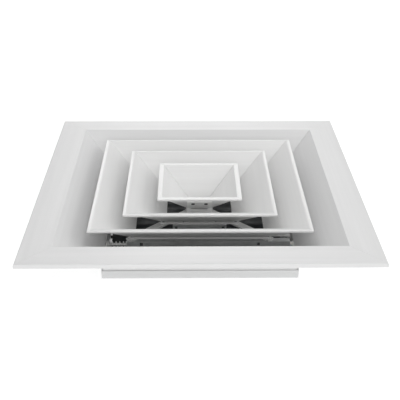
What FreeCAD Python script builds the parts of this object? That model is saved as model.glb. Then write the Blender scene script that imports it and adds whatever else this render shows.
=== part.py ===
import FreeCAD, Part
import os
from types import SimpleNamespace

import Sketcher

# Square four-way ceiling air diffuser with a removable core and an opposed blade damper.
# Millimetres. The origin is the centre of the underside of the damper frame, +Z points to
# the room side of the flange, -Y is the front and +X is the side of the damper linkage.

DIMENSIONS = {
    # outer frame
    "face_height": 73.0,
    "flange_half": 197.5,
    "flange_inner": 162.0,
    "flange_wall": 1.5,
    "edge_drop": 5.3,
    "edge_round": 2.2,
    "neck_inner": 112.8,
    "neck_wall": 1.5,
    "neck_bottom": 2.0,
    "slope_foot": 29.0,
    "inner_corner_shift": 0.5,
    "foot_corner_shift": 0.65,
    "key_rib_inner": 172.0,
    "key_rib_outer": 185.0,
    "key_rib_wall": 1.2,
    "key_rib_drop": 4.0,
    "frame_key_leg": 42.0,
    "frame_key_thickness": 2.0,
    "fit_clearance": 0.1,
    "mitre_gap": 0.05,
    "neck_hole_spread": 80.0,
    "neck_hole_height": 26.2,
    "neck_hole_radius": 2.0,
    # cones of the core: lip edge, throat, foot edge and underside of each
    "outer_lip": 128.0,
    "outer_throat": 77.9,
    "outer_foot": 84.3,
    "outer_base": 36.0,
    "middle_lip": 90.6,
    "middle_throat": 40.8,
    "middle_foot": 48.3,
    "middle_base": 36.0,
    "inner_lip": 51.45,
    "inner_throat": 10.4,
    "inner_foot": 17.0,
    "inner_base": 38.0,
    "lip_height": 72.0,
    "lip_width": 5.7,
    "lip_wall": 1.2,
    "cone_wall_run": 1.9,
    "foot_wall": 1.2,
    "bead_height": 2.2,
    "bead_width": 1.3,
    "lip_rib_inset": 9.7,
    "lip_rib_wall": 1.2,
    "lip_rib_reach": 7.1,
    "key_leg": 14.0,
    "cone_key_thickness": 1.0,
    "key_clearance": 0.3,
    # carrier of the core
    "strap_half_width": 5.0,
    "strap_half_length": 120.0,
    "strap_bottom": 34.0,
    "strap_wall": 2.0,
    "corner_rivet": 82.2,
    "middle_rivet": 44.6,
    "rivet_radius": 1.5,
    "rivet_head_radius": 2.3,
    "rivet_head": 1.0,
    "rivet_clearance": 0.05,
    "saddle_half_width": 15.5,
    "saddle_wall": 1.2,
    "saddle_stand": 18.2,
    "saddle_top": 62.0,
    "saddle_rivet_spread": 8.0,
    "saddle_rivet_height": 57.5,
    "saddle_window_half": 10.5,
    "saddle_window_bottom": 40.9,
    "saddle_window_top": 42.7,
    "brace_half_length": 33.0,
    "brace_inner": 41.5,
    "brace_outer": 50.0,
    "brace_bottom": 29.0,
    "brace_rivet_spread": 20.0,
    "brace_rivet_reach": 45.6,
    "brace_slot_spread": 29.0,
    "channel_wall": 1.1,
    "brace_slot_height": 4.6,
    "brace_slot_rise": 3.0,
    "bar_half_length": 87.5,
    "bar_long_end": 107.5,
    "bar_inner": 78.7,
    "bar_outer": 87.0,
    "bar_lip_inner": 81.5,
    "bar_bottom": 24.0,
    "bar_slot_spread": 70.0,
    "bar_slot_height": 7.0,
    "slot_width": 3.4,
    # pins and plungers that hold the core
    "pin_reach": 82.8,
    "pin_height": 28.0,
    "pin_radius": 1.8,
    "pin_nose": 112.5,
    "collar_radius": 4.0,
    "collar_inner": 108.4,
    "collar_outer": 109.6,
    "guide_inner": 77.4,
    "spring_radius": 4.0,
    "spring_wire": 1.2,
    "knob_radius": 2.7,
    "knob_inner": 74.0,
    "knob_outer": 76.0,
    "tip_start": 107.7,
    "tip_radius": 2.9,
    "tip_bore": 2.5,
    "clip_depth": 2.2,
    "clip_half_width": 6.0,
    "clip_bottom": 24.2,
    "clip_top": 29.0,
    # damper frame
    "damper_inner": 111.3,
    "damper_outer": 115.9,
    "damper_web": 1.3,
    "damper_inner_wall": 1.2,
    "damper_outer_wall": 1.3,
    "damper_tall": 24.0,
    "damper_band": 11.5,
    "damper_round": 2.4,
    "damper_screw_spread": 90.0,
    "damper_screw_height": 18.0,
    "damper_screw_radius": 1.5,
    "damper_screw_head": 3.0,
    "damper_screw_head_height": 1.8,
    "damper_screw_recess": 1.2,
    "damper_screw_recess_depth": 0.9,
    # blades, caps and linkage
    "blade_pitch": 27.8,
    "blade_axis": 14.0,
    "blade_half_chord": 13.6,
    "blade_half_length": 107.0,
    "blade_edge": 0.5,
    "blade_root": 0.8,
    "blade_root_reach": 5.5,
    "blade_boss": 2.9,
    "cap_wall": 1.7,
    "pivot_radius": 2.0,
    "pivot_end": 112.4,
    "pivot_depth": 8.0,
    "running_clearance": 0.05,
    "bush_radius": 3.0,
    "bush_flange_radius": 3.7,
    "bush_flange": 0.4,
    "press_clearance": 0.02,
    "crank_radius": 7.5,
    "crank_pin_radius": 1.5,
    "crank_pin_length": 2.0,
    "crank_disc_radius": 9.6,
    "crank_clearance": 0.32,
    "pivot_clearance": 0.25,
    "link_inner": 109.2,
    "link_wall": 1.2,
    "link_bottom": 3.0,
    "link_top": 25.0,
    "link_front": 110.9,
    "link_back": 100.5,
    "lever_front": 68.0,
    "lever_back": 60.0,
    "lever_shelf": 28.2,
    "lever_shelf_inner": 98.0,
    "lever_inner": 84.0,
    "lever_outer": 107.0,
    "lever_tab_top": 33.4,
    "lever_rivet": 102.5,
    "lever_rivet_head": 0.8,
}

BLADE_COUNT = 8
BLADES_PER_HALF = BLADE_COUNT // 2
HALF_DIAGONAL = 0.5 ** 0.5
SADDLE_RIVET_BITE = 0.6
CORNER_SHARE = 0.3
OVERSHOOT = 1
SIDES = {"back": 0, "left": 90, "front": 180, "right": 270}
X_AXIS = FreeCAD.Vector(1, 0, 0)
Y_AXIS = FreeCAD.Vector(0, 1, 0)
Z_AXIS = FreeCAD.Vector(0, 0, 1)


class Size:
    """A length together with the sheet expression that gives it."""

    def __init__(self, value, text):
        self.value = value
        self.text = text

    def combine(self, sign, other, value):
        return Size(value, f"({self.text} {sign} {as_size(other).text})")

    def __add__(self, other):
        return self.combine("+", other, self.value + as_size(other).value)

    def __sub__(self, other):
        return self.combine("-", other, self.value - as_size(other).value)

    def __mul__(self, other):
        return self.combine("*", other, self.value * as_size(other).value)

    def __truediv__(self, other):
        return self.combine("/", other, self.value / as_size(other).value)

    def __neg__(self):
        return Size(-self.value, f"(0 - {self.text})")


def as_size(amount):
    return amount if isinstance(amount, Size) else Size(float(amount), f"{amount:.6f}")


# CORNER_SHARE sets the middle point of a rounded corner drawn with two chamfers, as a share of
# its radius. OVERSHOOT is how far a cutting tool reaches past the face it leaves.

doc = FreeCAD.newDocument("CeilingDiffuser")
sheet = doc.addObject("Spreadsheet::Sheet", "Sizes")
for row, (alias, number) in enumerate(DIMENSIONS.items(), start=1):
    sheet.set(f"A{row}", alias)
    sheet.set(f"B{row}", str(number))
    sheet.setAlias(f"B{row}", alias)
doc.recompute()
dim = SimpleNamespace(**{alias: Size(getattr(sheet, alias), f"Sizes.{alias}") for alias in DIMENSIONS})

nodes = []
cuts = []


# ---------------------------------------------------------------- drawing helpers


def keep(thing, label):
    """Name a finished sub-part and put it on the list that is written."""
    thing.Label = label
    nodes.append(thing)
    return thing


def bind(thing, name, amount):
    thing.setExpression(name, as_size(amount).text)


def place(thing, x=0, y=0, z=0, rotation=FreeCAD.Rotation()):
    thing.Placement = FreeCAD.Placement(FreeCAD.Vector(), rotation)
    for axis, amount in zip("xyz", (x, y, z)):
        bind(thing, f"Placement.Base.{axis}", amount)
    return thing


def turn(angle, axis=Z_AXIS):
    return FreeCAD.Rotation(axis, angle)


def new_body(name):
    return doc.addObject("PartDesign::Body", name)


def origin_plane(body, role):
    return [item for item in body.Origin.OriginFeatures if item.Role == role][0]


def fix_point(sketch, index, position, point):
    for kind, amount in zip(("DistanceX", "DistanceY"), point):
        number = sketch.addConstraint(Sketcher.Constraint(kind, index, position, amount.value))
        bind(sketch, f"Constraints[{number}]", amount)


def draw_outline(sketch, outline):
    corners = [(as_size(across), as_size(up)) for across, up in outline]
    first = sketch.GeometryCount
    for start, end in zip(corners, corners[1:] + corners[:1]):
        line = [FreeCAD.Vector(point[0].value, point[1].value, 0) for point in (start, end)]
        sketch.addGeometry(Part.LineSegment(*line))
    for step, corner in enumerate(corners):
        following = first + (step + 1) % len(corners)
        sketch.addConstraint(Sketcher.Constraint("Coincident", first + step, 2, following, 1))
        fix_point(sketch, first + step, 1, corner)


def draw_circle(sketch, across, up, radius):
    centre = (as_size(across), as_size(up))
    radius = as_size(radius)
    middle = FreeCAD.Vector(centre[0].value, centre[1].value, 0)
    index = sketch.addGeometry(Part.Circle(middle, Z_AXIS, radius.value))
    fix_point(sketch, index, 3, centre)
    number = sketch.addConstraint(Sketcher.Constraint("Radius", index, radius.value))
    bind(sketch, f"Constraints[{number}]", radius)


def draw(body, role, outlines=(), circles=(), offset=0):
    """A fully dimensioned sketch on one of the body's own origin planes."""
    sketch = body.newObject("Sketcher::SketchObject", f"{body.Name}_sketch")
    sketch.AttachmentSupport = [(origin_plane(body, role), "")]
    sketch.MapMode = "FlatFace"
    bind(sketch, "AttachmentOffset.Base.z", offset)
    for outline in outlines:
        draw_outline(sketch, outline)
    for circle in circles:
        draw_circle(sketch, *circle)
    return sketch


def pad(body, sketch, length, midplane=False):
    feature = body.newObject("PartDesign::Pad", f"{body.Name}_pad")
    feature.Profile = sketch
    feature.Midplane = midplane
    bind(feature, "Length", length)


def pocket(body, sketch, depth, along_normal=True):
    feature = body.newObject("PartDesign::Pocket", f"{body.Name}_pocket")
    feature.Profile = sketch
    feature.Reversed = along_normal
    bind(feature, "Length", depth)
    cuts.append(feature)


def mirror(body, role="YZ_Plane"):
    doc.recompute()
    feature = body.newObject("PartDesign::Mirrored", f"{body.Name}_mirror")
    feature.TransformMode = "Whole shape"
    feature.MirrorPlane = (origin_plane(body, role), [""])
    body.Tip = feature


def rectangle(left, right, bottom, top):
    return [(left, bottom), (right, bottom), (right, top), (left, top)]


def box(name, x_span, y_span, z_span):
    """A block between two values along each axis."""
    block = doc.addObject("Part::Box", name)
    spans = [[as_size(end) for end in span] for span in (x_span, y_span, z_span)]
    for side, span in zip(("Length", "Width", "Height"), spans):
        bind(block, side, span[1] - span[0])
    return place(block, *[span[0] for span in spans])


def rod(name, radius, length, x=0, y=0, z=0, rotation=FreeCAD.Rotation()):
    """A cylinder that starts at a point and runs along the turned Z axis."""
    cylinder = doc.addObject("Part::Cylinder", name)
    bind(cylinder, "Radius", radius)
    bind(cylinder, "Height", length)
    return place(cylinder, x, y, z, rotation)


def stepped_rod(name, steps, y, z):
    """Cylinders end to end along X: each step is a radius and the two ends of its run."""
    along_x = turn(90, Y_AXIS)
    runs = [
        rod(f"{name}_step", radius, as_size(end) - start, start, y, z, along_x)
        for radius, start, end in steps
    ]
    return join(name, runs)


def join(name, shapes):
    if len(shapes) == 1:
        return shapes[0]
    fused = doc.addObject("Part::MultiFuse", name)
    fused.Shapes = shapes
    fused.Refine = True
    return fused


def cut(name, base, tool):
    result = doc.addObject("Part::Cut", name)
    result.Base = base
    result.Tool = tool
    return result


def group(name, shapes):
    compound = doc.addObject("Part::Compound", name)
    compound.Links = shapes
    return compound


# ---------------------------------------------------------------- outer frame


def mitred_member(name, outline, near, far, wall_holes=(), hole_depth=0, foot_holes=(), foot_top=0):
    """One side of a square ring: a section padded along X and cut at 45 degrees at both ends.

    The section is drawn at +Y. Wall holes run along Y and foot holes along Z.
    """
    body = new_body(name)
    pad(body, draw(body, "YZ_Plane", [outline]), far)
    gap = dim.mitre_gap
    beyond = far + OVERSHOOT
    waste = [(near - gap, near), (far - gap, far), (beyond, far), (beyond, near)]
    pocket(body, draw(body, "XY_Plane", [waste]), dim.face_height + OVERSHOOT)
    if wall_holes:
        pocket(body, draw(body, "XZ_Plane", circles=wall_holes), hole_depth, along_normal=False)
    if foot_holes:
        pocket(body, draw(body, "XY_Plane", circles=foot_holes), foot_top)
    mirror(body)
    return body


def frame_outline():
    top = dim.face_height
    under = top - dim.flange_wall
    rib_end = under - dim.key_rib_drop
    neck_outer = dim.neck_inner + dim.neck_wall
    chamfer = dim.edge_round * CORNER_SHARE
    outline = [
        (dim.flange_half, top - dim.edge_drop),
        (dim.flange_half, top - dim.edge_round),
        (dim.flange_half - chamfer, top - chamfer),
        (dim.flange_half - dim.edge_round, top),
        (dim.flange_inner, top),
        (dim.neck_inner, dim.slope_foot),
        (dim.neck_inner, dim.neck_bottom),
        (neck_outer, dim.neck_bottom),
        (neck_outer, dim.slope_foot - dim.foot_corner_shift),
        (dim.flange_inner + dim.inner_corner_shift, under),
    ]
    for rib in (dim.key_rib_inner, dim.key_rib_outer):
        rib_far = rib + dim.key_rib_wall
        outline += [(rib, under), (rib, rib_end), (rib_far, rib_end), (rib_far, under)]
    outline += [
        (dim.flange_half - dim.flange_wall, under),
        (dim.flange_half - dim.flange_wall, top - dim.edge_drop),
    ]
    return outline


def make_frame():
    """Flange, sloping wall and neck, with screw holes for the duct and for the damper."""
    duct_hole = (dim.neck_hole_spread, dim.neck_hole_height, dim.neck_hole_radius)
    screw_radius = dim.damper_screw_radius + dim.rivet_clearance
    damper_hole = (dim.damper_screw_spread, dim.damper_screw_height, screw_radius)
    depth = dim.neck_inner + dim.neck_wall + OVERSHOOT
    near = dim.neck_inner - OVERSHOOT
    far = dim.flange_half + OVERSHOOT
    for side, angle in SIDES.items():
        hole = duct_hole if side in ("front", "back") else damper_hole
        member = mitred_member(f"frame_{side}", frame_outline(), near, far, [hole], depth)
        keep(place(member, rotation=turn(angle)), f"frame_{side}")


def corner_key(name, inner, outer, leg, bottom, thickness, angle):
    """An L-shaped plate in one corner of a ring."""
    body = new_body(name)
    outline = [
        (outer, outer),
        (outer - leg, outer),
        (outer - leg, inner),
        (inner, inner),
        (inner, outer - leg),
        (outer, outer - leg),
    ]
    pad(body, draw(body, "XY_Plane", [outline]), thickness)
    return place(body, z=bottom, rotation=turn(angle))


def make_frame_keys():
    inner = dim.key_rib_inner + dim.key_rib_wall + dim.fit_clearance
    outer = dim.key_rib_outer - dim.fit_clearance
    thickness = dim.frame_key_thickness
    bottom = dim.face_height - dim.flange_wall - thickness
    keys = [
        corner_key(f"frame_key_{side}", inner, outer, dim.frame_key_leg, bottom, thickness, angle)
        for side, angle in SIDES.items()
    ]
    keep(group("frame_keys", keys), "frame_corner_keys")


# ---------------------------------------------------------------- core cones


def cone_sizes(ring):
    names = ("lip", "throat", "foot", "base")
    return SimpleNamespace(**{name: getattr(dim, f"{ring}_{name}") for name in names})


def cone_run(cone):
    """How far the sloping wall moves out for each millimetre of height."""
    return (cone.lip - dim.lip_width - cone.throat) / (dim.lip_height - cone.base)


def cone_outside(cone, height):
    """Distance from the axis to the outer face of the sloping wall."""
    return cone.throat + (height - cone.base) * cone_run(cone) + dim.cone_wall_run


def cone_height(cone, reach):
    """Height of the outer face of the sloping wall at a distance from the axis."""
    return cone.base + (reach - cone.throat - dim.cone_wall_run) / cone_run(cone)


def cone_outline(cone):
    """Lip, sloping wall with a rib under the lip, and foot with an upturned bead."""
    top = dim.lip_height
    foot_top = cone.base + dim.foot_wall
    bead_top = cone.base + dim.bead_height
    bead_inner = cone.foot - dim.bead_width
    rib = cone.lip - dim.lip_rib_inset
    rib_far = rib + dim.lip_rib_wall
    rib_end = top - dim.lip_rib_reach
    under = top - dim.lip_wall
    return [
        (cone.lip, top),
        (cone.lip - dim.lip_width, top),
        (cone.throat, cone.base),
        (cone.foot, cone.base),
        (cone.foot, bead_top),
        (bead_inner, bead_top),
        (bead_inner, foot_top),
        (cone_outside(cone, foot_top), foot_top),
        (rib, cone_height(cone, rib)),
        (rib, rib_end),
        (rib_far, rib_end),
        (rib_far, cone_height(cone, rib_far)),
        (cone_outside(cone, under), under),
        (cone.lip, under),
    ]


def cone_wall(cone):
    """True thickness of the sloping wall, and of the saddle's arms that lie on it."""
    return dim.cone_wall_run / (1 + cone_run(cone).value ** 2) ** 0.5


def saddle_rods(name, steps):
    """Stepped rods square to the inner cone's slope at the four saddle rivets.

    A step is a radius, how far outside the cone's wall it starts, and its length inwards.
    """
    cone = cone_sizes("inner")
    reach = cone_outside(cone, dim.saddle_rivet_height)
    rods = []
    for side in (1, -1):
        inward = FreeCAD.Vector(0, -side, cone_run(cone).value).normalize()
        rotation = FreeCAD.Rotation(Z_AXIS, inward)
        for across in (1, -1):
            x = dim.saddle_rivet_spread * across
            pieces = []
            for radius, start, length in steps:
                y = (reach - as_size(start) * (inward.y * side)) * side
                z = dim.saddle_rivet_height - as_size(start) * inward.z
                pieces.append(rod(f"{name}_step", radius, length, x, y, z, rotation))
            rods.append(join(name, pieces))
    return rods


def saddle_rivet_holes():
    """Holes through the saddle's arms that end inside the inner cone's wall."""
    start = dim.saddle_wall * 3
    depth = start + cone_wall(cone_sizes("inner")) * SADDLE_RIVET_BITE
    return saddle_rods("saddle_hole", [(dim.rivet_radius + dim.rivet_clearance, start, depth)])


def make_cones():
    hole_radius = dim.rivet_radius + dim.rivet_clearance
    corner_holes = {"outer": dim.corner_rivet, "middle": dim.middle_rivet}
    for ring in ("outer", "middle", "inner"):
        cone = cone_sizes(ring)
        for side, angle in SIDES.items():
            reach = corner_holes.get(ring)
            holes = [(reach, reach, hole_radius)] if reach else []
            if ring == "middle" and side in ("front", "back"):
                holes.append((dim.brace_rivet_spread, dim.brace_rivet_reach, hole_radius))
            member = mitred_member(
                f"{ring}_cone_{side}_body",
                cone_outline(cone),
                cone.throat - OVERSHOOT,
                cone.lip + OVERSHOOT,
                foot_holes=holes,
                foot_top=cone.base + dim.foot_wall,
            )
            place(member, rotation=turn(angle))
            if ring == "inner" and side in ("front", "back"):
                holes = group(f"{side}_rivet_holes", saddle_rivet_holes())
                member = cut(f"drilled_cone_{side}", member, holes)
            keep(member, f"{ring}_cone_{side}")


def make_cone_keys():
    """Plates under the lips that hold the mitred corners of each cone together."""
    thickness = dim.cone_key_thickness
    bottom = dim.lip_height - dim.lip_wall - thickness
    keys = []
    for ring in ("outer", "middle", "inner"):
        cone = cone_sizes(ring)
        inner = cone_outside(cone, dim.lip_height - dim.lip_wall) + dim.key_clearance
        outer = cone.lip - dim.key_clearance
        for side, angle in SIDES.items():
            name = f"{ring}_key_{side}"
            keys.append(corner_key(name, inner, outer, dim.key_leg, bottom, thickness, angle))
    keep(group("cone_keys", keys), "cone_corner_keys")


def make_centre_plate():
    """Plate that closes the bottom of the inner cone and lies on the saddle."""
    half = dim.inner_foot - dim.bead_width
    bottom = dim.strap_bottom + dim.strap_wall + dim.saddle_wall
    body = new_body("centre_plate_body")
    hole = (0, 0, dim.rivet_radius + dim.rivet_clearance)
    sketch = draw(body, "XY_Plane", [rectangle(-half, half, -half, half)], [hole])
    pad(body, sketch, dim.inner_base - bottom)
    place(body, z=bottom)
    keep(body, "centre_plate")


# ---------------------------------------------------------------- core carrier


def make_straps():
    """Two diagonal straps, half lapped where they cross."""
    length = dim.strap_half_length
    width = dim.strap_half_width
    lap = width + dim.rivet_clearance
    hole_radius = dim.rivet_radius + dim.rivet_clearance
    spots = [0]
    for reach in (dim.corner_rivet, dim.middle_rivet):
        along = reach / HALF_DIAGONAL
        spots += [along, -along]
    placings = {
        "strap_rising": (dim.strap_bottom, turn(45)),
        "strap_falling": (dim.strap_bottom + dim.strap_wall, turn(-45) * turn(180, X_AXIS)),
    }
    for name, (height, rotation) in placings.items():
        body = new_body(f"{name}_body")
        holes = [(spot, 0, hole_radius) for spot in spots]
        pad(body, draw(body, "XY_Plane", [rectangle(-length, length, -width, width)], holes),
            dim.strap_wall)
        pocket(body, draw(body, "XY_Plane", [rectangle(-lap, lap, -lap, lap)]), dim.strap_wall / 2)
        keep(place(body, z=height, rotation=rotation), name)


def make_saddle():
    """Folded plate on the strap crossing whose two arms lie on the inner cone."""
    cone = cone_sizes("inner")
    slope = cone_run(cone)
    bottom = dim.strap_bottom + dim.strap_wall
    stand = dim.saddle_stand
    outer = stand + dim.saddle_wall
    plate_run = dim.cone_wall_run
    tip_reach = cone_outside(cone, dim.saddle_top)
    outline = [
        (0, bottom),
        (outer, bottom),
        (outer, cone_height(cone, outer - plate_run)),
        (tip_reach + dim.saddle_wall * HALF_DIAGONAL,
         cone_height(cone, tip_reach + dim.saddle_wall * HALF_DIAGONAL - plate_run)),
        (tip_reach, dim.saddle_top),
        (stand, cone_height(cone, stand)),
        (stand, bottom + dim.saddle_wall),
        (0, bottom + dim.saddle_wall),
    ]
    body = new_body("saddle_body")
    pad(body, draw(body, "YZ_Plane", [outline]), dim.saddle_half_width * 2, midplane=True)
    window_half = dim.saddle_window_half
    window = rectangle(-window_half, window_half, dim.saddle_window_bottom, dim.saddle_window_top)
    pocket(body, draw(body, "XZ_Plane", [window]), outer + OVERSHOOT, along_normal=False)
    mirror(body, "XZ_Plane")
    shanks = saddle_rivet_holes()
    hole_radius = dim.rivet_radius + dim.rivet_clearance
    shanks.append(rod("saddle_centre_hole", hole_radius, dim.strap_bottom * 2))
    keep(cut("drilled_saddle", body, group("saddle_holes", shanks)), "centre_saddle")


def upright_slot(across, middle, height):
    half_width = dim.slot_width / 2
    half_height = height / 2
    return rectangle(across - half_width, across + half_width, middle - half_height, middle + half_height)


def make_braces():
    """Short channels, open below, under the front and back feet of the middle cone."""
    inner = dim.brace_inner
    outer = dim.brace_outer
    bottom = dim.brace_bottom
    top = dim.middle_base
    wall = dim.channel_wall
    outline = [
        (inner, bottom),
        (inner + wall, bottom),
        (inner + wall, top - wall),
        (outer - wall, top - wall),
        (outer - wall, bottom),
        (outer, bottom),
        (outer, top),
        (inner, top),
    ]
    hole_radius = dim.rivet_radius + dim.rivet_clearance
    slot_middle = bottom + dim.brace_slot_rise
    face_slot = upright_slot(dim.brace_slot_spread, slot_middle, dim.brace_slot_height)
    foot_hole = (dim.brace_rivet_spread, dim.brace_rivet_reach, hole_radius)
    for side in ("front", "back"):
        body = new_body(f"brace_{side}_body")
        pad(body, draw(body, "YZ_Plane", [outline]), dim.brace_half_length)
        pocket(body, draw(body, "XZ_Plane", [face_slot]), outer + OVERSHOOT, False)
        pocket(body, draw(body, "XY_Plane", circles=[foot_hole]), top + OVERSHOOT)
        mirror(body)
        keep(place(body, rotation=turn(SIDES[side])), f"brace_{side}")


def bar_outline():
    """A U section, open towards the axis, with a narrow lower flange that clears the blades."""
    top = dim.strap_bottom
    wall = dim.channel_wall
    return [
        (dim.bar_lip_inner, dim.bar_bottom),
        (dim.bar_outer, dim.bar_bottom),
        (dim.bar_outer, top),
        (dim.bar_inner, top),
        (dim.bar_inner, top - wall),
        (dim.bar_outer - wall, top - wall),
        (dim.bar_outer - wall, dim.bar_bottom + wall),
        (dim.bar_lip_inner, dim.bar_bottom + wall),
    ]


def tab_outline():
    """The closed end of the same section."""
    return [
        (dim.bar_lip_inner, dim.bar_bottom),
        (dim.bar_outer, dim.bar_bottom),
        (dim.bar_outer, dim.strap_bottom),
        (dim.bar_inner, dim.strap_bottom),
        (dim.bar_inner, dim.pin_height),
    ]


def bar_extension(name, y_side):
    """The right end of a bar, beyond the length that both ends share."""
    outline, tab = [
        [(across * y_side, up) for across, up in points] for points in (bar_outline(), tab_outline())
    ]
    rod_hole = (dim.pin_reach * y_side, dim.pin_height, dim.pin_radius + dim.running_clearance)
    start = dim.bar_half_length
    wall = dim.channel_wall
    body = new_body(name)
    pad(body, draw(body, "YZ_Plane", [outline], offset=start), dim.bar_long_end - start)
    pad(body, draw(body, "YZ_Plane", [tab], [rod_hole], dim.bar_long_end - wall), wall)
    return body


def make_bars():
    """Channels under the outer cone with drilled tabs; the right end reaches almost to the neck."""
    top = dim.strap_bottom
    wall = dim.channel_wall
    rod_hole = (dim.pin_reach, dim.pin_height, dim.pin_radius + dim.running_clearance)
    web_slot = upright_slot(dim.bar_slot_spread, (top + dim.bar_bottom) / 2, dim.bar_slot_height)
    rivet_hole = (dim.corner_rivet, dim.corner_rivet, dim.rivet_radius + dim.rivet_clearance)
    for side in ("front", "back"):
        body = new_body(f"bar_{side}_body")
        pad(body, draw(body, "YZ_Plane", [bar_outline()]), dim.bar_half_length)
        for start in (dim.bar_half_length - wall, dim.guide_inner):
            pad(body, draw(body, "YZ_Plane", [tab_outline()], [rod_hole], start), wall)
        pocket(body, draw(body, "XZ_Plane", [web_slot]), dim.bar_outer + OVERSHOOT, False)
        pocket(body, draw(body, "XY_Plane", circles=[rivet_hole]), top + OVERSHOOT)
        mirror(body)
        place(body, rotation=turn(SIDES[side]))
        extension = bar_extension(f"bar_{side}_extension", 1 if side == "back" else -1)
        keep(join(f"bar_{side}_whole", [body, extension]), f"bar_{side}")


def rivet(name, x, y, head_top, end):
    """A rivet with its head below: the head ends and the shank starts at head_top."""
    head = rod(f"{name}_head", dim.rivet_head_radius, dim.rivet_head, x, y, head_top - dim.rivet_head)
    shank = rod(f"{name}_shank", dim.rivet_radius, end - head_top, x, y, head_top)
    return join(name, [head, shank])


def saddle_rivets():
    """Shanks through the saddle's arms with a flat head on the outside."""
    wall = cone_wall(cone_sizes("inner"))
    head = (dim.rivet_head_radius, wall + dim.rivet_head, dim.rivet_head)
    shank = (dim.rivet_radius, wall, wall + wall * SADDLE_RIVET_BITE)
    return saddle_rods("saddle_rivet", [head, shank])


def make_carrier_rivets():
    rivets = []
    spots = {
        dim.corner_rivet: dim.strap_bottom - dim.channel_wall,
        dim.middle_rivet: dim.strap_bottom,
    }
    for (reach, head_top), base in zip(spots.items(), (dim.outer_base, dim.middle_base)):
        for x_side, y_side in ((1, 1), (-1, 1), (-1, -1), (1, -1)):
            end = base + dim.foot_wall
            rivets.append(rivet("corner_rivet", reach * x_side, reach * y_side, head_top, end))
    for x_side, y_side in ((1, 1), (-1, 1), (-1, -1), (1, -1)):
        x = dim.brace_rivet_spread * x_side
        y = dim.brace_rivet_reach * y_side
        head_top = dim.middle_base - dim.channel_wall
        rivets.append(rivet("brace_rivet", x, y, head_top, dim.middle_base + dim.foot_wall))
    rivets.append(rivet("centre_rivet", 0, 0, dim.strap_bottom, dim.inner_base))
    keep(group("rivets", rivets + saddle_rivets()), "core_rivets")


# ---------------------------------------------------------------- pins and plungers


def make_plungers():
    """Spring plungers on the left and fixed pins with nylon tips on the right."""
    pin = dim.pin_radius
    collar = dim.collar_radius
    knob = dim.knob_radius
    pins = []
    tips = []
    for side, y in (("front", -dim.pin_reach), ("back", dim.pin_reach)):
        steps = [
            (pin, -dim.pin_nose, -dim.collar_outer),
            (collar, -dim.collar_outer, -dim.collar_inner),
            (pin, -dim.collar_inner, -dim.knob_outer),
            (knob, -dim.knob_outer, -dim.knob_inner),
        ]
        keep(stepped_rod(f"plunger_{side}_rod", steps, y, dim.pin_height), f"plunger_{side}")
        start = dim.bar_half_length
        run = [(dim.spring_radius, -dim.collar_inner, -start)]
        bore = [(dim.spring_radius - dim.spring_wire, -dim.collar_inner, -start)]
        sleeve = stepped_rod(f"spring_{side}_outside", run, y, dim.pin_height)
        hollow = stepped_rod(f"spring_{side}_inside", bore, y, dim.pin_height)
        keep(cut(f"spring_{side}_sleeve", sleeve, hollow), f"plunger_spring_{side}")
        pin_end = dim.tip_start + dim.tip_bore
        steps = [
            (knob, dim.knob_inner, dim.knob_outer),
            (pin, dim.knob_outer, pin_end),
        ]
        pins.append(stepped_rod(f"pin_{side}", steps, y, dim.pin_height))
        nose = [(dim.tip_radius, dim.tip_start, dim.pin_nose)]
        tip = stepped_rod(f"tip_{side}_outside", nose, y, dim.pin_height)
        bore = stepped_rod(f"tip_{side}_bore", [(pin, dim.tip_start, pin_end)], y, dim.pin_height)
        tips.append(cut(f"tip_{side}", tip, bore))
    keep(group("pins", pins), "fixed_pins")
    keep(group("tips", tips), "pin_tips")


def make_rest_clips():
    """Open cradles on the neck wall that carry the four pin ends."""
    clips = []
    wall = dim.neck_inner
    for x_side, radius in ((-1, dim.pin_radius), (1, dim.tip_radius)):
        near, far = sorted((wall * x_side, (wall - dim.clip_depth) * x_side), key=lambda s: s.value)
        notch = radius + dim.fit_clearance
        for y_side in (-1, 1):
            y = dim.pin_reach * y_side
            across = (y - dim.clip_half_width, y + dim.clip_half_width)
            block = box("clip_block", (near, far), across, (dim.clip_bottom, dim.clip_top))
            round_seat = stepped_rod("clip_seat", [(notch, near, far)], y, dim.pin_height)
            mouth = box("clip_mouth", (near, far), (y - notch, y + notch),
                        (dim.pin_height, dim.clip_top + OVERSHOOT))
            clips.append(cut("clip", block, join("clip_notch", [round_seat, mouth])))
    keep(group("clips", clips), "core_rest_clips")


# ---------------------------------------------------------------- damper frame


def blade_reaches():
    """Distances of the blade axes from the middle, on one half."""
    return [dim.blade_pitch * (step + 0.5) for step in range(BLADES_PER_HALF)]


def damper_outline(outer_top):
    """A J section: inner leg, web below and outer leg."""
    inner_far = dim.damper_inner + dim.damper_inner_wall
    outer_near = dim.damper_outer - dim.damper_outer_wall
    chamfer = dim.damper_round * CORNER_SHARE
    return [
        (dim.damper_inner, dim.damper_tall),
        (dim.damper_inner, 0),
        (dim.damper_outer - dim.damper_round, 0),
        (dim.damper_outer - chamfer, chamfer),
        (dim.damper_outer, dim.damper_round),
        (dim.damper_outer, outer_top),
        (outer_near, outer_top),
        (outer_near, dim.damper_web),
        (inner_far, dim.damper_web),
        (inner_far, dim.damper_tall),
    ]


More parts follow.
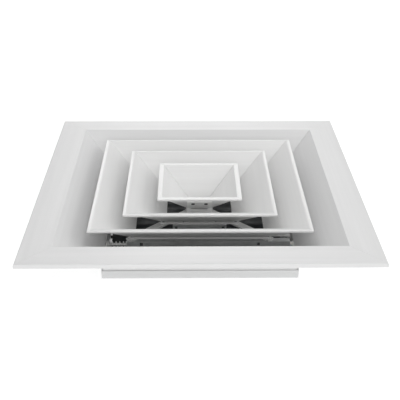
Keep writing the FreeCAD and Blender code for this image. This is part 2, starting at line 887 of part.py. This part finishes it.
def make_damper_frame():
    """Front and back with a low outer leg, left and right tall and drilled for the bushes."""
    near = dim.damper_inner - OVERSHOOT
    far = dim.damper_outer + OVERSHOOT
    bush_depth = dim.damper_inner + dim.damper_inner_wall + dim.fit_clearance
    bush_holes = [(reach, dim.blade_axis, dim.bush_radius) for reach in blade_reaches()]
    screw_radius = dim.damper_screw_radius + dim.rivet_clearance
    screw_hole = (dim.damper_screw_spread, dim.damper_screw_height, screw_radius)
    for side, angle in SIDES.items():
        if side in ("front", "back"):
            member = mitred_member(f"damper_{side}", damper_outline(dim.damper_band), near, far)
        else:
            member = mitred_member(
                f"damper_{side}", damper_outline(dim.damper_tall), near, far, bush_holes, bush_depth
            )
            pocket_below_mirror(member, screw_hole, far)
        keep(place(member, rotation=turn(angle)), f"damper_{side}")


def pocket_below_mirror(body, hole, depth):
    """Drill the same hole through both halves of a finished member."""
    across, up, radius = hole
    holes = [(across, up, radius), (-across, up, radius)]
    pocket(body, draw(body, "XZ_Plane", circles=holes), depth, along_normal=False)


def make_damper_screws():
    screws = []
    shank_start = dim.damper_inner + dim.fit_clearance
    head_start = dim.damper_outer
    head_height = dim.damper_screw_head_height
    recess_depth = dim.damper_screw_recess_depth
    recess_start = head_start + head_height - recess_depth
    runs = {
        "shank": (dim.damper_screw_radius, shank_start, head_start - shank_start),
        "head": (dim.damper_screw_head, head_start, head_height),
        "recess": (dim.damper_screw_recess, recess_start, recess_depth + OVERSHOOT),
    }
    for x_side in (-1, 1):
        rotation = turn(90 * x_side, Y_AXIS)
        for y_side in (-1, 1):
            y = dim.damper_screw_spread * y_side
            shank, head, recess = [
                rod(f"screw_{name}", radius, length, start * x_side, y, dim.damper_screw_height, rotation)
                for name, (radius, start, length) in runs.items()
            ]
            screws.append(cut("screw", join("screw_blank", [shank, head]), recess))
    keep(group("screws", screws), "damper_screws")


def make_bushes():
    """Nylon bushes with a small inner flange in the left and right members."""
    bushes = []
    bore_radius = dim.pivot_radius + dim.running_clearance
    barrel_radius = dim.bush_radius - dim.press_clearance
    end = dim.damper_inner + dim.damper_inner_wall
    start = dim.damper_inner - dim.bush_flange
    for x_side in (-1, 1):
        rotation = turn(90 * x_side, Y_AXIS)
        for reach in blade_reaches():
            for y_side in (-1, 1):
                spot = (start * x_side, reach * y_side, dim.blade_axis, rotation)
                flange = rod("bush_flange", dim.bush_flange_radius, dim.bush_flange, *spot)
                barrel = rod("bush_barrel", barrel_radius, end - start, *spot)
                bore = rod("bush_bore", bore_radius, end - start, *spot)
                bushes.append(cut("bush", join("bush_blank", [flange, barrel]), bore))
    keep(group("bushes", bushes), "pivot_bushes")


# ---------------------------------------------------------------- blades and linkage


def blade_outline():
    """Thin wings on both sides of a boss that holds the pivots."""
    chord = dim.blade_half_chord
    root = dim.blade_root_reach
    boss = dim.blade_boss
    upper = [
        (chord, dim.blade_edge),
        (root, dim.blade_root),
        (boss, boss),
        (-boss, boss),
        (-root, dim.blade_root),
        (-chord, dim.blade_edge),
    ]
    lower = [(-across, -up) for across, up in upper]
    return upper + lower


def blade_cap(name, crank_side):
    """End plate and pivot pin; with a crank disc and pin above (1) or below (-1) the pivot."""
    body = new_body(name)
    wall = dim.cap_wall
    pad(body, draw(body, "YZ_Plane", [blade_outline()]), wall)
    pivot = (0, 0, dim.pivot_radius)
    reach = dim.pivot_end - dim.blade_half_length + dim.pivot_depth
    pad(body, draw(body, "YZ_Plane", circles=[pivot], offset=-dim.pivot_depth), reach)
    if crank_side:
        pad(body, draw(body, "YZ_Plane", circles=[(0, 0, dim.crank_disc_radius)]), wall)
        offset = dim.crank_radius * HALF_DIAGONAL
        crank = (-offset, offset * crank_side, dim.crank_pin_radius)
        pad(body, draw(body, "YZ_Plane", circles=[crank]), wall + dim.crank_pin_length)
    return body


def make_blades():
    bore = (0, 0, dim.pivot_radius + dim.running_clearance)
    for number in range(1, BLADE_COUNT + 1):
        y = dim.blade_pitch * (number - (BLADE_COUNT + 1) / 2)
        body = new_body(f"blade_{number}_body")
        sketch = draw(body, "YZ_Plane", [blade_outline()], [bore])
        pad(body, sketch, dim.blade_half_length * 2, midplane=True)
        keep(place(body, y=y, z=dim.blade_axis), f"blade_{number}")
        crank_side = 1 if number % 2 else -1
        right = place(blade_cap(f"cap_right_{number}", crank_side),
                      dim.blade_half_length, y, dim.blade_axis)
        left = place(blade_cap(f"cap_left_{number}", 0),
                     -dim.blade_half_length, y, dim.blade_axis, turn(180))
        keep(group(f"caps_{number}", [right, left]), f"blade_caps_{number}")


def make_linkage_bar():
    """Flat bar with a slot round each pivot, a slot for each crank pin and a folded shelf."""
    body = new_body("linkage_body")
    front = -dim.link_front
    outline = [
        (front, dim.link_bottom),
        (dim.link_back, dim.link_bottom),
        (dim.link_back, dim.link_top),
        (-dim.lever_back, dim.link_top),
        (-dim.lever_back, dim.lever_shelf + dim.link_wall),
        (-dim.lever_front, dim.lever_shelf + dim.link_wall),
        (-dim.lever_front, dim.link_top),
        (front, dim.link_top),
    ]
    pad(body, draw(body, "YZ_Plane", [outline], offset=dim.link_inner), dim.link_wall)
    shelf = rectangle(-dim.lever_front, -dim.lever_back, dim.lever_shelf,
                      dim.lever_shelf + dim.link_wall)
    shelf_sketch = draw(body, "YZ_Plane", [shelf], offset=dim.lever_shelf_inner)
    pad(body, shelf_sketch, dim.link_inner - dim.lever_shelf_inner)

    offset = dim.crank_radius * HALF_DIAGONAL
    travel = offset * 2
    axis = dim.blade_axis
    pin = dim.pivot_radius + dim.pivot_clearance
    tall = dim.pivot_radius + dim.fit_clearance
    crank = dim.crank_pin_radius + dim.crank_clearance
    near = offset - dim.crank_pin_radius - dim.fit_clearance
    far = dim.crank_radius + dim.crank_pin_radius + dim.fit_clearance
    slots = []
    for number in range(1, BLADE_COUNT + 1):
        y = dim.blade_pitch * (number - (BLADE_COUNT + 1) / 2)
        start = front - OVERSHOOT if number == 1 else y - travel - pin
        slots.append(rectangle(start, y + pin, axis - tall, axis + tall))
        if number % 2:
            low, high = axis + near, axis + far
        else:
            low, high = axis - far, axis - near
        slots.append(rectangle(y - offset - crank, y - offset + crank, low, high))
    sketch = draw(body, "YZ_Plane", slots, offset=dim.link_inner - OVERSHOOT)
    pocket(body, sketch, dim.link_wall + OVERSHOOT * 2)
    middle = -(dim.lever_front + dim.lever_back) / 2
    hole = (dim.lever_rivet, middle, dim.rivet_radius + dim.rivet_clearance)
    pocket(body, draw(body, "XY_Plane", circles=[hole]), dim.lever_shelf + dim.link_wall + OVERSHOOT)
    keep(body, "linkage_bar")


def make_lever():
    """Finger plate on the shelf of the linkage bar, with its end turned up."""
    bottom = dim.lever_shelf + dim.link_wall
    top = bottom + dim.link_wall
    middle = -(dim.lever_front + dim.lever_back) / 2
    outline = [
        (dim.lever_inner, bottom),
        (dim.lever_outer, bottom),
        (dim.lever_outer, top),
        (dim.lever_inner + dim.link_wall, top),
        (dim.lever_inner + dim.link_wall, dim.lever_tab_top),
        (dim.lever_inner, dim.lever_tab_top),
    ]
    body = new_body("lever_body")
    width = dim.lever_front - dim.lever_back
    pad(body, draw(body, "XZ_Plane", [outline], offset=dim.lever_back), width)
    hole = (dim.lever_rivet, middle, dim.rivet_radius + dim.rivet_clearance)
    pocket(body, draw(body, "XY_Plane", circles=[hole]), top + OVERSHOOT)
    keep(body, "damper_lever")

    head = dim.lever_rivet_head
    low_head = rod("lever_low_head", dim.rivet_head_radius, head / 2,
                   dim.lever_rivet, middle, dim.lever_shelf - head / 2)
    shank = rod("lever_shank", dim.rivet_radius, top - dim.lever_shelf,
                dim.lever_rivet, middle, dim.lever_shelf)
    high_head = rod("lever_high_head", dim.rivet_head_radius, head, dim.lever_rivet, middle, top)
    keep(join("lever_rivet_body", [low_head, shank, high_head]), "lever_rivet")


# ---------------------------------------------------------------- check and write


def check_model():
    for thing in doc.Objects:
        if "Invalid" in thing.State or "Error" in thing.State:
            raise RuntimeError(f"{thing.Name} ({thing.Label}) failed: {thing.State}")
    for feature in cuts:
        if feature.Shape.Volume > feature.BaseFeature.Shape.Volume - 0.01:
            raise RuntimeError(f"{feature.Name} cuts nothing")
    for node in nodes:
        if node.Shape.isNull() or not node.Shape.isValid() or not node.Shape.Solids:
            raise RuntimeError(f"{node.Label} has no valid solid")


def write_parts():
    os.makedirs("parts", exist_ok=True)
    for node in nodes:
        node.Shape.exportStep(f"parts/{node.Label}.step")


make_frame()
make_frame_keys()
make_cones()
make_cone_keys()
make_centre_plate()
make_straps()
make_saddle()
make_braces()
make_bars()
make_carrier_rivets()
make_plungers()
make_rest_clips()
make_damper_frame()
make_damper_screws()
make_bushes()
make_blades()
make_linkage_bar()
make_lever()
doc.recompute()
check_model()
write_parts()
print(f"{len(nodes)} nodes written")
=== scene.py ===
import math

import bpy
from mathutils import Matrix, Vector


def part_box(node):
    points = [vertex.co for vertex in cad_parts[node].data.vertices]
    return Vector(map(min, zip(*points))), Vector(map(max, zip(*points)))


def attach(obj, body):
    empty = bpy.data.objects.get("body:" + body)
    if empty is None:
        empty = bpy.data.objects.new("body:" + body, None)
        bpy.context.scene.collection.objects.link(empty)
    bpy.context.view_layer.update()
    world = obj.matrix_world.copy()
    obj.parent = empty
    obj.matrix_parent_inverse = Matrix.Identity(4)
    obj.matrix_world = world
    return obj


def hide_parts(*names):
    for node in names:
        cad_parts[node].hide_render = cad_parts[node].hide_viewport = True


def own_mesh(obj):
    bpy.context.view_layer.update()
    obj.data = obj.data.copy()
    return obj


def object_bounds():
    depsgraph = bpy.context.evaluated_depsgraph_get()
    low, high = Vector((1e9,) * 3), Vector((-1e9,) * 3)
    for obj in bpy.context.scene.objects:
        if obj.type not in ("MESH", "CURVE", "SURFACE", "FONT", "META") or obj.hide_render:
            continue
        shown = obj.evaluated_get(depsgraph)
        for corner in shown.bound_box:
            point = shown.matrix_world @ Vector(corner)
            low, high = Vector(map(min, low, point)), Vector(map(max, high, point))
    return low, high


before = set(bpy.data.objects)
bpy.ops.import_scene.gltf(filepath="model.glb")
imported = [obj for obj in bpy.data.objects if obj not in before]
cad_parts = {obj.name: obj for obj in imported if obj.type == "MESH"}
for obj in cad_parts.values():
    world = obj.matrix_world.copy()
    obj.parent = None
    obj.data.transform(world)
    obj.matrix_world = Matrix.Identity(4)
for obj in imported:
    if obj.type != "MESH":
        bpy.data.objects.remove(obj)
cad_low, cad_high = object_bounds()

# The camera looks at a point in the face plane of the flange, in front of the middle.
CAMERA_LENS = 71.6
CAMERA_ELEVATION = math.radians(27.95)
CAMERA_AZIMUTH = math.radians(-0.83)
CAMERA_ROLL = math.radians(0.24)
CAMERA_DISTANCE_IN_WIDTHS = 2.428
CAMERA_AIM_IN_WIDTHS = (0.0007, -0.138)

WIDTH = cad_high.x - cad_low.x
FACE = cad_high.z
MILLIMETRE = 0.001

# Lengths in metres. The floor glows by itself, like a light table.
FLOOR_HALF_SIZE = 6.0
FLOOR_GLOW = 0.67
ROOM_GLOW = 0.39

# Name, place, side of the square and watts of each soft box.
SOFT_BOXES = [
    ("top", (0, 0, 2.0), 1.8, 11.7),
    ("front", (0.1, -1.8, 1.2), 1.2, 5.2),
    ("front_low", (0, -2.2, 0.55), 1.2, 8.2),
    ("back_low", (0, 1.6, 0.95), 0.8, 6.7),
    ("right", (1.5, -0.2, 0.9), 1.2, 8.2),
    ("left", (-1.5, -0.2, 0.9), 1.2, 1.8),
]

SPRING_WIRE_RADIUS = 0.6 * MILLIMETRE
SPRING_TURNS = 5.5
SPRING_CLOSED_TURNS = 0.7
SPRING_CLOSED_PITCH = 0.9 * 2 * SPRING_WIRE_RADIUS
SPRING_STEPS_PER_TURN = 24

WELD_DISTANCE = 0.002 * MILLIMETRE
FLAT_FACE_ANGLE = math.radians(0.5)
SHARP_EDGE_ANGLE = math.radians(40)
EDGE_SEGMENTS = 3

# Edge rounding in millimetres by the start of the node's name. The first match counts.
EDGES = {
    "frame_corner": 0.3,
    "frame_": 0.35,
    "outer_cone": 0.45,
    "middle_cone": 0.45,
    "inner_cone": 0.45,
    "damper_screws": 0.4,
    "damper_lever": 0.3,
    "damper_": 0.4,
    "pin_tips": 1.3,
    "plunger_": 0.5,
    "fixed_pins": 0.5,
    "blade_caps": 0.25,
    "blade_": 0.3,
}
COMMON_EDGE = 0.25


# ---------------------------------------------------------------- materials


class Nodes:
    """A new material's node tree, with short calls that add and link nodes."""

    def __init__(self, name):
        self.material = bpy.data.materials.new(name)
        self.material.use_nodes = True
        self.tree = self.material.node_tree
        self.shader = self.tree.nodes["Principled BSDF"]
        self.place = self.add("ShaderNodeTexCoord").outputs["Object"]

    def add(self, kind):
        return self.tree.nodes.new(kind)

    def link(self, source, target):
        self.tree.links.new(source, target)

    def noise(self, scale, stretch=(1, 1, 1), detail=3, roughness=0.5):
        """Noise with features of 1/scale metres, stretched along the small numbers."""
        mapping = self.add("ShaderNodeMapping")
        mapping.inputs["Scale"].default_value = stretch
        self.link(self.place, mapping.inputs["Vector"])
        noise = self.add("ShaderNodeTexNoise")
        noise.inputs["Scale"].default_value = scale
        noise.inputs["Detail"].default_value = detail
        noise.inputs["Roughness"].default_value = roughness
        self.link(mapping.outputs["Vector"], noise.inputs["Vector"])
        return noise.outputs["Fac"]

    def spread(self, factor, low, high, start=0.3, end=0.7):
        """A number from low to high as factor goes from start to end."""
        ranged = self.add("ShaderNodeMapRange")
        ranged.inputs["From Min"].default_value = start
        ranged.inputs["From Max"].default_value = end
        ranged.inputs["To Min"].default_value = low
        ranged.inputs["To Max"].default_value = high
        self.link(factor, ranged.inputs["Value"])
        return ranged.outputs["Result"]

    def blend_colours(self, factor, first, second, start=0.3, end=0.7):
        ramp = self.add("ShaderNodeValToRGB")
        for element, position, colour in zip(ramp.color_ramp.elements, (start, end), (first, second)):
            element.position = position
            element.color = (*colour, 1)
        self.link(factor, ramp.inputs["Fac"])
        return ramp.outputs["Color"]

    def bump(self, height, strength, depth, under=None):
        bump = self.add("ShaderNodeBump")
        bump.inputs["Strength"].default_value = strength
        bump.inputs["Distance"].default_value = depth
        self.link(height, bump.inputs["Height"])
        if under is not None:
            self.link(under, bump.inputs["Normal"])
        return bump.outputs["Normal"]

    def finish(self, colour, roughness, normal):
        self.link(colour, self.shader.inputs["Base Color"])
        self.link(roughness, self.shader.inputs["Roughness"])
        self.link(normal, self.shader.inputs["Normal"])
        return self.material

    def set(self, **values):
        for name, value in values.items():
            self.shader.inputs[name.replace("_", " ")].default_value = value


def along(axis):
    """Stretch for features that run along one axis."""
    return tuple(0.02 if name == axis else 1 for name in "XYZ")


def powder_coat(name, light, dark, axis, gloss=0.48):
    """Semi-gloss powder coat: fine orange peel, faint lines of the extrusion below it."""
    nodes = Nodes(name)
    lines = nodes.noise(170, along(axis), detail=4)
    clouds = nodes.noise(9, detail=2)
    colour = nodes.blend_colours(lines, dark, light)
    roughness = nodes.spread(clouds, gloss - 0.04, gloss + 0.05)
    peel = nodes.bump(nodes.noise(900, detail=2), 0.10, 0.00006)
    normal = nodes.bump(lines, 0.12, 0.00012, peel)
    nodes.set(Coat_Weight=0.12, Coat_Roughness=0.4, IOR=1.5)
    return nodes.finish(colour, roughness, normal)


def bare_metal(name, light, dark, axis, roughness, metallic):
    """Oxidised or plated metal with fine drawing lines and soft dull patches."""
    nodes = Nodes(name)
    lines = nodes.noise(700, along(axis), detail=3)
    patches = nodes.noise(60, detail=4)
    colour = nodes.blend_colours(patches, dark, light)
    dull = nodes.spread(lines, roughness - 0.08, roughness + 0.12)
    normal = nodes.bump(lines, 0.2, 0.00005)
    nodes.set(Metallic=metallic)
    return nodes.finish(colour, dull, normal)


def satin_black(name, axis):
    """Black coat of the damper blades with a little dust on it."""
    nodes = Nodes(name)
    lines = nodes.noise(220, along(axis), detail=3)
    dust = nodes.noise(140, detail=6, roughness=0.7)
    colour = nodes.blend_colours(dust, (0.010, 0.014, 0.015), (0.028, 0.034, 0.035))
    roughness = nodes.spread(dust, 0.38, 0.6)
    return nodes.finish(colour, roughness, nodes.bump(lines, 0.15, 0.0001))


def nylon(name, light, dark):
    """Moulded nylon with a fine grain."""
    nodes = Nodes(name)
    grain = nodes.noise(1500, detail=2)
    tone = nodes.noise(120, detail=2)
    colour = nodes.blend_colours(tone, dark, light)
    nodes.set(Subsurface_Weight=0.1, Subsurface_Scale=0.002)
    return nodes.finish(colour, nodes.spread(grain, 0.4, 0.55), nodes.bump(grain, 0.15, 0.00004))


def floor_paper():
    """Plain white studio floor that gives off light itself."""
    nodes = Nodes("floor_paper")
    tone = nodes.noise(4, detail=2)
    colour = nodes.blend_colours(tone, (0.49, 0.49, 0.49), (0.51, 0.51, 0.51))
    nodes.set(Emission_Color=(1, 1, 1, 1), Emission_Strength=FLOOR_GLOW)
    return nodes.finish(colour, nodes.spread(tone, 0.8, 0.9), nodes.bump(tone, 0.02, 0.0001))


def make_materials():
    white = ((0.745, 0.745, 0.745), (0.71, 0.71, 0.71))
    cream = ((0.77, 0.77, 0.765), (0.74, 0.74, 0.735))
    duct = ((0.66, 0.665, 0.665), (0.63, 0.635, 0.635))
    made = {
        "aluminium": bare_metal("mill_aluminium", (0.80, 0.80, 0.79), (0.66, 0.66, 0.65), "X", 0.45, 0.3),
        # The saddle's aluminium is coloured much lighter than the mill aluminium. This is painted light
        # that makes the bracket look more brightly lit.
        "saddle": bare_metal("aluminium_painted_light", (0.97, 0.97, 0.96), (0.90, 0.90, 0.89), "X", 0.38, 0.05),
        "channel": bare_metal("channel_grey", (0.72, 0.73, 0.73), (0.58, 0.59, 0.59), "X", 0.36, 0.5),
        "zinc": bare_metal("zinc_steel", (0.74, 0.74, 0.72), (0.60, 0.60, 0.59), "X", 0.35, 0.6),
        "spring": bare_metal("spring_steel", (0.85, 0.85, 0.85), (0.72, 0.72, 0.72), "Y", 0.3, 0.4),
        # The rivets are coloured near black. This is painted shade that stands in for the dark hollows of
        # the rivet holes.
        "rivet": bare_metal("rivet_steel", (0.05, 0.05, 0.05), (0.03, 0.03, 0.03), "Z", 0.4, 0.6),
        "black": satin_black("blade_black", "X"),
        "nylon": nylon("nylon_white", (0.80, 0.80, 0.78), (0.74, 0.74, 0.72)),
        "nylon_black": nylon("nylon_black", (0.03, 0.03, 0.03), (0.018, 0.018, 0.018)),
    }
    for axis in "XY":
        made[f"frame_{axis}"] = powder_coat(f"powder_white_{axis}", *white, axis)
        made[f"cone_{axis}"] = powder_coat(f"cone_white_{axis}", *cream, axis, gloss=0.42)
        made[f"duct_{axis}"] = powder_coat(f"damper_white_{axis}", *duct, axis, gloss=0.40)
    return made


def material_key(node):
    axis = "Y" if node.endswith(("_left", "_right")) else "X"
    if "_cone_" in node:
        return f"cone_{axis}"
    if node in ("frame_corner_keys", "cone_corner_keys"):
        return "aluminium"
    if node.startswith("frame_"):
        return f"frame_{axis}"
    if node in ("damper_front", "damper_back", "damper_left", "damper_right"):
        return f"duct_{axis}"
    starts = {
        "centre_saddle": "saddle",
        "blade_caps": "nylon_black",
        "blade_": "black",
        "plunger_spring": "spring",
        "plunger_": "zinc",
        "fixed_pins": "zinc",
        "damper_screws": "zinc",
        "lever_rivet": "zinc",
        "pin_tips": "nylon",
        "pivot_bushes": "nylon",
        "core_rivets": "rivet",
        "bar_": "channel",
        "brace_": "channel",
    }
    for start, key in starts.items():
        if node.startswith(start):
            return key
    return "aluminium"


def dress_node(name, obj, materials):
    """Give a CAD node its material and small rounded edges.

    Flat faces are merged before the edges are rounded, because narrow triangles between two
    holes would open into slits.
    """
    material = materials[material_key(name)]
    for slot in obj.material_slots:
        slot.material = material
    if not obj.material_slots:
        obj.data.materials.append(material)
    width = next((edge for start, edge in EDGES.items() if name.startswith(start)), COMMON_EDGE)
    weld = obj.modifiers.new("weld", "WELD")
    weld.merge_threshold = WELD_DISTANCE
    planes = obj.modifiers.new("planes", "DECIMATE")
    planes.decimate_type = "DISSOLVE"
    planes.angle_limit = FLAT_FACE_ANGLE
    bevel = obj.modifiers.new("edges", "BEVEL")
    bevel.width = width * MILLIMETRE
    bevel.segments = EDGE_SEGMENTS
    bevel.limit_method = "ANGLE"
    bevel.angle_limit = SHARP_EDGE_ANGLE
    bevel.face_strength_mode = "FSTR_ALL"
    flat = obj.modifiers.new("flat_faces", "WEIGHTED_NORMAL")
    flat.use_face_influence = True


# ---------------------------------------------------------------- springs


def spring(side, material):
    """Helical spring between the end of the carrier bar and the plunger's collar."""
    node = f"plunger_spring_{side}"
    low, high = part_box(node)
    wire = SPRING_WIRE_RADIUS
    radius = (high.z - low.z) / 2 - wire
    middle = (low + high) / 2
    open_turns = SPRING_TURNS - 2 * SPRING_CLOSED_TURNS
    open_length = high.x - low.x - 2 * wire - 2 * SPRING_CLOSED_TURNS * SPRING_CLOSED_PITCH
    count = round(SPRING_TURNS * SPRING_STEPS_PER_TURN)
    curve = bpy.data.curves.new(f"coil_{side}", "CURVE")
    curve.dimensions = "3D"
    curve.bevel_depth = wire
    curve.bevel_resolution = 3
    curve.use_fill_caps = True
    line = curve.splines.new("POLY")
    line.points.add(count)
    for step, point in enumerate(line.points):
        turn = step / count * SPRING_TURNS
        open_part = min(max((turn - SPRING_CLOSED_TURNS) / open_turns, 0), 1)
        angle = 2 * math.pi * step / SPRING_STEPS_PER_TURN
        closed_rise = SPRING_CLOSED_PITCH * (turn - open_part * open_turns)
        x = low.x + wire + closed_rise + open_part * open_length
        y = middle.y + radius * math.cos(angle)
        z = middle.z + radius * math.sin(angle)
        point.co = (x, y, z, 1)
    shape = bpy.data.objects.new(f"coil_spring_{side}", curve)
    bpy.context.collection.objects.link(shape)
    dg = bpy.context.evaluated_depsgraph_get()
    mesh = bpy.data.meshes.new_from_object(shape.evaluated_get(dg))
    bpy.data.objects.remove(shape)
    coil = bpy.data.objects.new(f"coil_spring_{side}", mesh)
    bpy.context.collection.objects.link(coil)
    mesh.materials.clear()
    mesh.materials.append(material)
    for face in mesh.polygons:
        face.use_smooth = True
    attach(coil, "core")
    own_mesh(coil)
    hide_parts(node)


# ---------------------------------------------------------------- studio


def make_camera():
    data = bpy.data.cameras.new("camera")
    data.lens = CAMERA_LENS
    data.sensor_width = 36
    camera = bpy.data.objects.new("camera", data)
    bpy.context.collection.objects.link(camera)
    level = math.cos(CAMERA_ELEVATION)
    back = Vector((
        math.sin(CAMERA_AZIMUTH) * level,
        -math.cos(CAMERA_AZIMUTH) * level,
        math.sin(CAMERA_ELEVATION),
    ))
    aim = Vector((CAMERA_AIM_IN_WIDTHS[0] * WIDTH, CAMERA_AIM_IN_WIDTHS[1] * WIDTH, FACE))
    look = (-back).to_track_quat("-Z", "Y").to_matrix().to_4x4()
    roll = Matrix.Rotation(CAMERA_ROLL, 4, "Z")
    camera.matrix_world = Matrix.Translation(aim + back * CAMERA_DISTANCE_IN_WIDTHS * WIDTH) @ look @ roll
    bpy.context.scene.camera = camera


def make_floor():
    size = FLOOR_HALF_SIZE
    mesh = bpy.data.meshes.new("floor")
    corners = [(-size, -size, 0), (size, -size, 0), (size, size, 0), (-size, size, 0)]
    mesh.from_pydata(corners, [], [(0, 1, 2, 3)])
    floor = bpy.data.objects.new("floor", mesh)
    floor.location.z = cad_low.z
    bpy.context.collection.objects.link(floor)
    mesh.materials.append(floor_paper())


def area_light(name, place, size, power):
    """A square soft box aimed at the middle of the face."""
    data = bpy.data.lights.new(name, "AREA")
    data.shape = "SQUARE"
    data.size = size
    data.energy = power
    light = bpy.data.objects.new(name, data)
    bpy.context.collection.objects.link(light)
    light.location = place
    aim = Vector((0, 0, FACE)) - Vector(place)
    light.rotation_euler = aim.to_track_quat("-Z", "Y").to_euler()


def make_lights():
    """An even white room with large soft boxes above and on all four sides."""
    world = bpy.data.worlds.new("studio")
    world.use_nodes = True
    background = world.node_tree.nodes["Background"]
    background.inputs["Color"].default_value = (1, 1, 1, 1)
    background.inputs["Strength"].default_value = ROOM_GLOW
    bpy.context.scene.world = world
    for name, place, size, power in SOFT_BOXES:
        area_light(name, place, size, power)
    bpy.context.scene.view_settings.view_transform = "Standard"


make_camera()
make_floor()
make_lights()
materials = make_materials()
for node_name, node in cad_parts.items():
    dress_node(node_name, node, materials)
for spring_side in ("front", "back"):
    spring(spring_side, materials["spring"])
